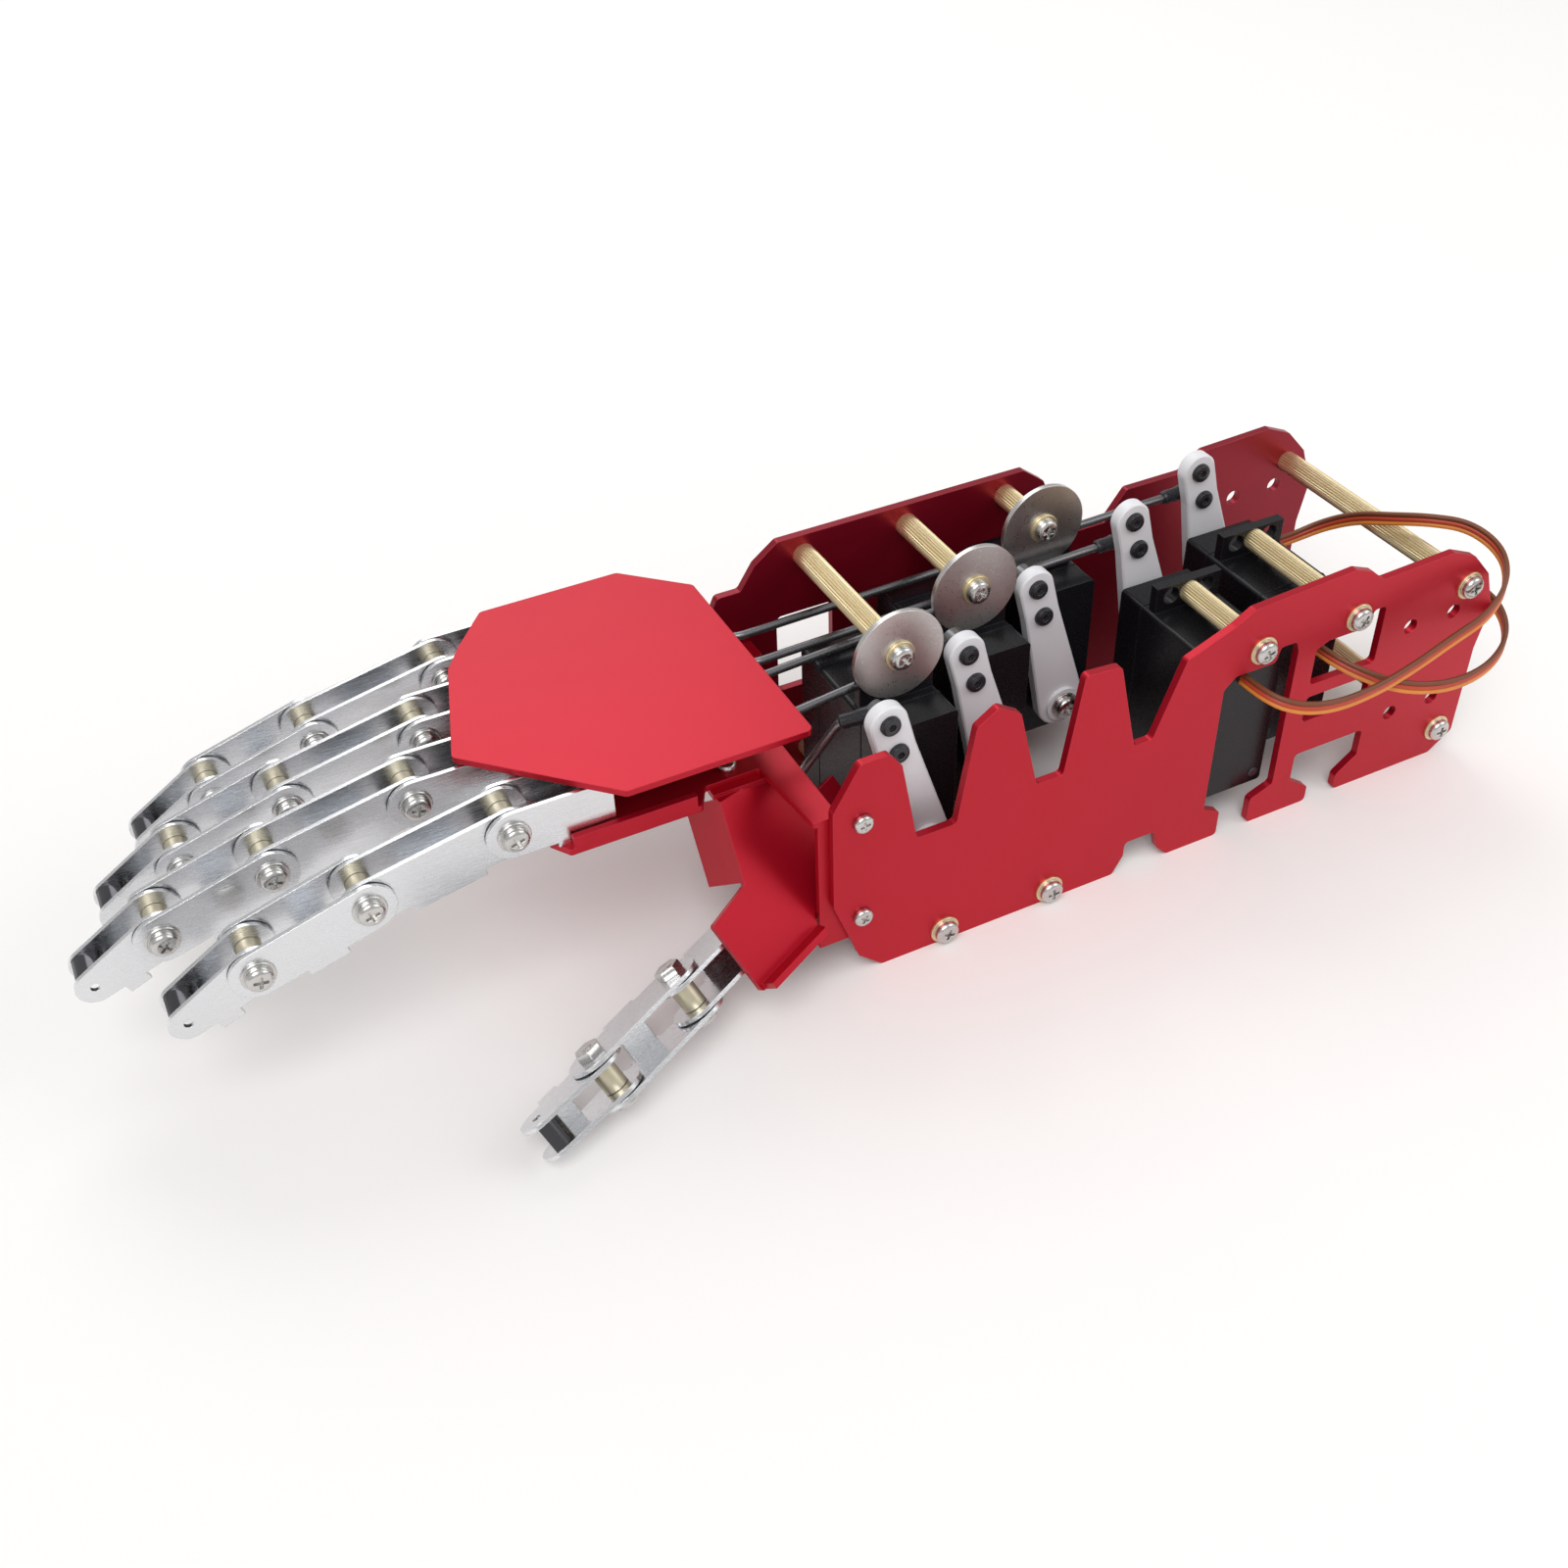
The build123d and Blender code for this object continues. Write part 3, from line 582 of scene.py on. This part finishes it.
# hexagon nut with eased corners and the screw's end standing out of it; the seat is the XY plane
def makeNutEnd(settings):
    rings = ringsOf(settings["across"], settings["tall"], settings["shares"])
    nut = addTurned("nut", rings, settings["sides"])
    rings = ringsOf(screwSet["shankRadius"], settings["endLong"], settings["endShares"])
    end = addTurned("shankEnd", rings, settings["endSides"])
    both = joinPieces([nut, end], "nutMaster")
    smoothBy(both, settings["smooth"])
    giveFinish(both, "screwSteel")
    return both


# plain shank that reaches down from its seat
def addShank(depth, seat, way):
    radius = screwSet["shankRadius"]
    shank = addTurned("shank", [(radius, -depth), (radius, 0)], screwSet["shankSides"])
    giveFinish(shank, "screwSteel")
    return placeAt(shank, seat, way)


screwMaster = makeScrewHead(screwSet, "screwMaster", "screwSteel")
brassMaster = makeScrewHead(screwSet, "brassMaster", "turnedBrass")
plainMaster = makeScrewHead(plainSet, "plainMaster", "screwSteel")
nutMaster = makeNutEnd(nutSet)
headHigh = screwSet["headTall"] + screwSet["washerThick"]


# screws across the forearm have brass-coloured washers, and short ones none
def frameScrews():
    parts = []
    for number, points in enumerate(islandsOf("frame_screws")):
        seat, way = screwSeat(points, headHigh)
        low, high = boxOf(points)
        depth = abs((high - low).dot(way)) - headHigh
        master = brassMaster if abs(way.y) > facing else screwMaster
        if depth < plainSet["reachUnder"]:
            master = plainMaster
        parts.append(copyTo(master, "frameScrewHead", seat, way, number * screwSet["frameSpin"]))
        parts.append(addShank(depth, seat, way))
    piece = joinPieces(parts, "frameScrewSet")
    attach(piece, "frame")
    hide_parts("frame_screws")


# screw, shank and nut through each of these joints
def hingeScrews(digit, jointNames):
    parts = []
    half = screwSet["cheekOut"]
    for number, jointName in enumerate(jointNames):
        joint = jointByName[jointName]
        axis = Vector(joint["axis"])
        pos = Vector(joint["pos_m"])
        headSpin = number * screwSet["hingeSpin"] + len(digit)
        nutSpin = number * screwSet["nutSpin"] + len(digit)
        parts.append(copyTo(screwMaster, "head", pos + axis * half, axis, headSpin))
        parts.append(copyTo(nutMaster, "nut", pos - axis * half, -axis, nutSpin))
        parts.append(addShank(2 * half, pos + axis * half, axis))
    return parts


frameScrews()
knuckleParts = []
for digit in digitNames:
    knuckleParts += hingeScrews(digit, [digit + "_knuckle"])
    pair = hingeScrews(digit, [digit + "_middle_joint", digit + "_tip_joint"])
    screws = joinPieces(pair, digit + "HingeScrews")
    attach(screws, digit + "_middle")
    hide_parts(digit + "_screws")
knuckleSet = joinPieces(knuckleParts, "knuckleScrewSet")
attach(knuckleSet, "frame")
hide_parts("knuckle_screws")
print("screws placed")


# ridged brass posts

postSet = {"radius": 2.75 * mm, "ridges": 26, "ridgeDeep": 0.336 * mm, "rimWide": 0.5 * mm,
           "rimShare": 0.99,  # vertices further out than this are on the rim
           "smooth": 20}


# post along Y with ridges from end to end, and a round middle on each end face
def ridgedPost(low, high, settings):
    deselectAll()
    bpy.ops.mesh.primitive_cylinder_add(vertices=settings["ridges"] * 2, radius=settings["radius"],
                                        depth=high.y - low.y)
    piece = bpy.context.active_object
    bpy.ops.object.mode_set(mode="EDIT")
    selectEnds(piece, downToo=True)
    bpy.ops.mesh.inset(thickness=settings["rimWide"])
    bpy.ops.mesh.select_mode(type="VERT")
    bpy.ops.mesh.select_all(action="DESELECT")
    shape = bmesh.from_edit_mesh(piece.data)
    step = math.pi / settings["ridges"]
    for vert in shape.verts:
        onRim = math.hypot(vert.co.x, vert.co.y) > settings["radius"] * settings["rimShare"]
        place = round(math.atan2(vert.co.y, vert.co.x) / step)
        vert.select = onRim and place % 2 == 0  # every second line of vertices sinks
    shape.select_flush_mode()
    bmesh.update_edit_mesh(piece.data)
    share = 1 - settings["ridgeDeep"] / settings["radius"]
    bpy.ops.transform.resize(value=(share, share, 1), center_override=(0, 0, 0))
    bpy.ops.object.mode_set(mode="OBJECT")
    smoothBy(piece, settings["smooth"])
    giveFinish(piece, "turnedBrass")
    return placeAt(piece, (low + high) / 2, (0, 1, 0))


for postNode, postName in (("frame_standoffs", "frameStandoffSet"), ("servo_posts", "servoPostSet")):
    posts = []
    for points in islandsOf(postNode):
        low, high = boxOf(points)
        posts.append(ridgedPost(low, high, postSet))
    piece = joinPieces(posts, postName)
    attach(piece, "frame")
    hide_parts(postNode)
print("posts placed")


# lever screws

leverSet = {"thick": 3.0 * mm, "lean": math.radians(15.0), "frontLong": 38.0 * mm, "rearLong": 28.5 * mm,
            "spacing": 8.5 * mm, "hubProud": 1.0 * mm,
            "linkSpin": 90.0, "hubSpin": 0.9}  # turn by a metre of reach, and from lever to lever
linkSet = {"radius": 2.4 * mm, "tall": 1.3 * mm, "shares": ((1, 0), (1, 0.5), (0.9, 0.85), (0.7, 1)),
           "sides": 28, "smooth": 35, "socketSides": 6, "socketShare": 0.42, "socketDeep": 1.2}


# low round head with a hexagon socket, as on the levers
def makeLinkScrew(settings):
    radius = settings["radius"]
    tall = settings["tall"]
    head = addTurned("linkHead", ringsOf(radius, tall, settings["shares"]), settings["sides"])
    deselectAll()
    bpy.ops.mesh.primitive_cylinder_add(vertices=settings["socketSides"],
                                        radius=radius * settings["socketShare"],
                                        depth=tall * settings["socketDeep"], location=(0, 0, tall))
    cutter = bpy.context.active_object
    settleMesh(cutter)
    cutAway(head, cutter)
    smoothBy(head, settings["smooth"])
    giveFinish(head, "linkBlack")
    return head


linkMaster = makeLinkScrew(linkSet)


# two link screws on the lever's near face, and on a front lever one at its hub
def leverScrews(number, settings):
    front = number < frontCount
    body = "lever_" + str(number + 1)
    hub = Vector(jointByName[body + "_turn"]["pos_m"])
    long = settings["frontLong"] if front else settings["rearLong"]
    nearFace = Vector((hub.x, hub.y - settings["thick"] if front else hub.y, hub.z))
    out = Vector((0, -1, 0))
    along = Vector((-math.sin(settings["lean"]), 0, math.cos(settings["lean"])))
    parts = []
    for reach in (long, long - settings["spacing"]):
        seat = nearFace + along * reach
        parts.append(copyTo(linkMaster, "linkHead", seat, out, reach * settings["linkSpin"]))
    if front:
        seat = nearFace + out * settings["hubProud"]
        parts.append(copyTo(screwMaster, "hubHead", seat, out, number * settings["hubSpin"]))
    piece = joinPieces(parts, "lever" + str(number + 1) + "Screws")
    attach(piece, body)


for number in range(servoCount):
    leverScrews(number, leverSet)
print("lever screws placed")


# fingertip noses

noseSet = {"centre": (-17.0 * mm, -1.0 * mm), "radius": 3.75 * mm, "thick": 0.6 * mm, "wide": 6.3 * mm,
           "sweep": math.radians(215.0), "steps": 20, "merge": 0.0001 * mm, "smooth": 40,
           "fingerSlope": math.radians(23.0), "thumbAlong": (-0.905, -0.398, -0.15)}


# frame of a fingertip: X back along it, Y across, Z up, from its hinge
def tipFrame(digit, settings):
    joint = jointByName[digit + "_tip_joint"]
    slope = settings["fingerSlope"]
    along = Vector((-math.cos(slope), 0, -math.sin(slope)))
    if digit == "thumb":
        along = Vector(settings["thumbAlong"]).normalized()
    xAxis = -along
    yAxis = -Vector(joint["axis"])
    turn = Matrix((xAxis, yAxis, xAxis.cross(yAxis))).transposed().to_4x4()
    return Matrix.Translation(Vector(joint["pos_m"])) @ turn


# strip of thin sheet, spun round the tip's end
def makeNose(settings):
    x, z = settings["centre"]
    deselectAll()
    bpy.ops.mesh.primitive_plane_add(size=1, location=(0, 0, 0), rotation=(0, quarterTurn, 0))
    nose = bpy.context.active_object
    nose.name = "noseMaster"
    nose.scale = (settings["thick"], settings["wide"], 1)
    nose.location = (x, 0, z - settings["radius"] + settings["thick"] / 2)
    settleMesh(nose)
    bpy.ops.object.mode_set(mode="EDIT")
    bpy.ops.mesh.select_all(action="SELECT")
    bpy.ops.mesh.spin(steps=settings["steps"], angle=settings["sweep"], center=(x, 0, z), axis=(0, 1, 0),
                      use_normal_flip=False)
    bpy.ops.mesh.select_all(action="SELECT")
    bpy.ops.mesh.remove_doubles(threshold=settings["merge"])
    bpy.ops.mesh.normals_make_consistent(inside=False)
    bpy.ops.object.mode_set(mode="OBJECT")
    smoothBy(nose, settings["smooth"])
    giveFinish(nose, "noseSteel")
    return nose


noseMaster = makeNose(noseSet)
for digit in digitNames:
    nose = addObject(digit + "Nose", noseMaster.data.copy())
    nose.matrix_world = tipFrame(digit, noseSet)
    settleMesh(nose)
    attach(nose, digit + "_tip")
print("noses placed")


# servo seams and case screws, in the drawing's millimetres

servoSet = {"firstX": -0.5, "pitch": 27.5, "wide": 20.0, "tall": 40.5, "deep": 36.6,
            "frontBottom": 14.5, "rearBottom": 9.6,
            "faces": (13.2, 27.0, 41.5, 40.4, 51.4)}  # how far in each case's lever side lies
seamSet = {"deep": 0.5, "proud": 0.12, "round": 1.05, "roundSteps": 4,
           "at": (8.0, 28.5)}  # from the lever side
caseScrewSet = {"radius": 1.3, "tall": 0.35, "shares": ((1, 0), (1, 0.6), (0.85, 1)), "sides": 16,
                "smooth": 30, "inX": 2.6, "inZ": 3.0}


# raised line round the case, where two of its parts meet
def makeSeamBand(settings):
    proud = 2 * settings["proud"]
    deselectAll()
    bpy.ops.mesh.primitive_cube_add(size=1)
    band = bpy.context.active_object
    band.scale = Vector((servoSet["wide"] + proud, settings["deep"], servoSet["tall"] + proud)) * mm
    settleMesh(band)
    bpy.ops.object.mode_set(mode="EDIT")
    bpy.ops.mesh.select_mode(type="EDGE")
    bpy.ops.mesh.select_all(action="DESELECT")
    shape = bmesh.from_edit_mesh(band.data)
    for edge in shape.edges:
        run = edge.verts[0].co - edge.verts[1].co
        edge.select = abs(run.y) > facing * run.length
    bmesh.update_edit_mesh(band.data)
    bpy.ops.mesh.bevel(offset=settings["round"] * mm, segments=settings["roundSteps"])
    bpy.ops.object.mode_set(mode="OBJECT")
    giveFinish(band, "caseBlack")
    return band


def makeCaseScrew(settings):
    rings = ringsOf(settings["radius"] * mm, settings["tall"] * mm, settings["shares"])
    head = addTurned("caseScrew", rings, settings["sides"])
    smoothBy(head, settings["smooth"])
    giveFinish(head, "linkBlack")
    return head


bandMaster = makeSeamBand(seamSet)
caseScrewMaster = makeCaseScrew(caseScrewSet)


def servoDetail(number, settings):
    front = number < frontCount
    x = settings["firstX"] + number * settings["pitch"]
    low = settings["frontBottom"] if front else settings["rearBottom"]
    high = low + settings["tall"]
    face = settings["faces"][number]
    way = 1 if front else -1  # from the lever side towards the back
    parts = []
    for reach in seamSet["at"]:
        band = addObject("band", bandMaster.data.copy())
        band.location = onDrawing((x, face + way * reach, (low + high) / 2))
        settleMesh(band)
        parts.append(band)
    sideways = settings["wide"] / 2 - caseScrewSet["inX"]
    for screwX in (x - sideways, x + sideways):
        for screwZ in (low + caseScrewSet["inZ"], high - caseScrewSet["inZ"]):
            seat = onDrawing((screwX, face + way * settings["deep"], screwZ))
            parts.append(copyTo(caseScrewMaster, "caseScrew", seat, (0, way, 0)))
    piece = joinPieces(parts, "servo" + str(number + 1) + "Detail")
    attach(piece, "frame")


for number in range(servoCount):
    servoDetail(number, servoSet)
print("servo details placed")


# black rod ends beside the levers

barrelSet = {"rings": ((1.87, 1.5), (1.87, 3.825), (1.7, 4.675), (1.7, 7.99), (1.36, 8.5)),  # millimetres
             "sides": 24, "smooth": 30,
             "clear": 4.5 * mm, "ringReach": 1.2 * mm, "ringPlaces": 7}  # for finding the rod's way


def makeBarrel(settings):
    rings = [(radius * mm, high * mm) for radius, high in settings["rings"]]
    barrel = addTurned("barrel", rings, settings["sides"])
    smoothBy(barrel, settings["smooth"])
    giveFinish(barrel, "linkBlack")
    return barrel


# a rod's pivot on its lever and the way it leaves, from the first ring of its mesh clear of the link
def rodWay(rod, settings):
    pivot = Vector(jointByName[rod + "_pivot"]["pos_m"])
    points = [vert.co - pivot for vert in cadNodes[rod].data.vertices]
    clear = [point for point in points if point.length > settings["clear"]]
    reach = min(point.length for point in clear) + settings["ringReach"]
    near = [point for point in clear if point.length < reach]
    ring = {tuple(round(v, settings["ringPlaces"]) for v in point) for point in near}
    middle = sum((Vector(point) for point in ring), Vector()) / len(ring)
    return pivot, middle.normalized()


barrelMaster = makeBarrel(barrelSet)
for number in range(servoCount):
    rod = "pull_rod_" + str(number + 1)
    pivot, way = rodWay(rod, barrelSet)
    piece = copyTo(barrelMaster, "rodEnd" + str(number + 1), pivot, way)
    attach(piece, rod)
print("rod ends placed")


# servo leads

leadSet = {"wide": 3.6 * mm, "wire": 1.2 * mm,
           "stripes": [(0.20, 0.055, 0.018), (0.55, 0.06, 0.025), (0.78, 0.26, 0.035)],
           "stripesFrom": (0.0, 0.34, 0.67), "shade": 0.35, "rough": 0.42, "bump": 0.15,
           "grainFine": 1800.0, "grainWide": 90.0, "smooth": 50,
           "order": 3, "steps": 7,  # of the spline that the route bends
           "arcSteps": 6}  # over each wire
leadRoutes = {
    "outer_lead": [
        (80.5, 3.8, 44.5), (80.5, -4.3, 44.5), (85.5, -10.0, 42.8), (95.5, -12.0, 41.0),
        (108.5, -11.5, 41.0), (120.5, -10.5, 43.0), (131.5, -9.5, 46.0), (142.5, -9.0, 49.0),
        (151.5, -4.5, 52.5), (156.0, 3.0, 56.0), (153.5, 12.0, 59.0), (146.0, 18.0, 59.8),
        (140.5, 26.0, 57.5), (138.0, 34.5, 54.0), (134.0, 41.0, 49.5), (127.5, 44.0, 46.0),
        (119.5, 44.0, 46.0)],
    "inner_lead": [
        (104.0, 14.8, 43.5), (104.0, 4.5, 43.5), (108.0, -4.5, 41.5), (117.0, -11.0, 38.0),
        (129.0, -14.0, 36.0), (141.5, -13.5, 36.5), (152.0, -8.5, 38.5), (157.5, 0.5, 41.0),
        (156.5, 11.0, 42.5), (148.5, 18.0, 42.0), (136.5, 20.0, 38.5), (128.0, 19.0, 36.0),
        (119.5, 19.0, 36.0)],
}


# three wires side by side, each in its own colour, read from the ribbon's own attribute
def makeLeadFinish(settings):
    paint, tree, shader = newPaint("leadRibbon")
    across = tree.nodes.new("ShaderNodeAttribute")
    across.attribute_name = "across"
    ramp = tree.nodes.new("ShaderNodeValToRGB")
    ramp.color_ramp.interpolation = "CONSTANT"
    stops = ramp.color_ramp.elements
    stops.new(settings["stripesFrom"][1])
    for stop, place, color in zip(stops, settings["stripesFrom"], settings["stripes"]):
        stop.position = place
        stop.color = (*color, 1.0)
    tree.links.new(across.outputs["Fac"], ramp.inputs["Fac"])
    grain = useGroup(tree, grainGroup, Fine=settings["grainFine"], Wide=settings["grainWide"])
    color = mixColor(tree, settings["shade"], ramp.outputs["Color"], grain.outputs["Cloud"], "MULTIPLY")
    tree.links.new(color, shader.inputs["Base Color"])
    shader.inputs["Roughness"].default_value = settings["rough"]
    addBump(tree, shader, grain, settings["bump"])
    return paint


leadFinish = makeLeadFinish(leadSet)


# points along the route's smooth line, from a spline with the route as its control points
def leadPath(name, points, settings):
    data = bpy.data.curves.new(name + "Line", "CURVE")
    data.dimensions = "3D"
    spline = data.splines.new("NURBS")
    spline.points.add(len(points) - 1)
    for spot, point in zip(spline.points, points):
        spot.co = (*onDrawing(point), 1.0)
    spline.order_u = settings["order"]
    spline.use_endpoint_u = True
    spline.resolution_u = settings["steps"]
    line = addObject(name + "Line", data)
    bpy.context.view_layer.update()
    mesh = bpy.data.meshes.new_from_object(line)
    path = [vert.co.copy() for vert in mesh.vertices]
    bpy.data.meshes.remove(mesh)
    bpy.data.objects.remove(line)
    return path


# outline of three round wires moulded side by side
def ribbonSection(settings):
    outline = []
    radius = settings["wire"] / 2
    steps = settings["arcSteps"]
    for side in (1, -1):
        for wire in (-1, 0, 1):
            for step in range(steps):
                angle = math.pi * (1 - (step + 0.5) / steps)
                x = wire * settings["wire"] + radius * math.cos(angle)
                outline.append((side * x, side * radius * math.sin(angle)))
    return outline


def ribbonMesh(name, path, settings):
    section = ribbonSection(settings)
    shape = bmesh.new()
    layer = shape.verts.layers.float.new("across")  # 0 at one edge of the ribbon, 1 at the other
    rings = []
    for number, point in enumerate(path):
        ahead = path[min(number + 1, len(path) - 1)]
        behind = path[max(number - 1, 0)]
        along = (ahead - behind).normalized()
        flat = along.cross(Vector((0, 0, 1))).normalized()
        wide = flat.cross(along).normalized()
        ring = []
        for x, z in section:
            vert = shape.verts.new(point + wide * x + flat * z)
            vert[layer] = 0.5 - x / settings["wide"]
            ring.append(vert)
        rings.append(ring)
    for first, second in zip(rings, rings[1:]):
        for k in range(len(section)):
            after = (k + 1) % len(section)
            shape.faces.new((first[k], first[after], second[after], second[k]))
    shape.faces.new(rings[0][::-1])
    shape.faces.new(rings[-1])
    bmesh.ops.recalc_face_normals(shape, faces=shape.faces)
    mesh = bpy.data.meshes.new(name)
    shape.to_mesh(mesh)
    shape.free()
    piece = addObject(name, mesh)
    piece.data.materials.append(leadFinish)
    smoothBy(piece, settings["smooth"])
    return piece


def addLead(node, name):
    path = leadPath(name, leadRoutes[node], leadSet)
    piece = ribbonMesh(name, path, leadSet)
    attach(piece, "frame")
    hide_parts(node)


addLead("outer_lead", "outerLead")
addLead("inner_lead", "innerLead")
print("leads laid")


# only the copies of these stay
for master in (screwMaster, brassMaster, plainMaster, nutMaster, linkMaster, noseMaster, bandMaster,
               caseScrewMaster, barrelMaster):
    bpy.data.objects.remove(master)
print("scene ready")
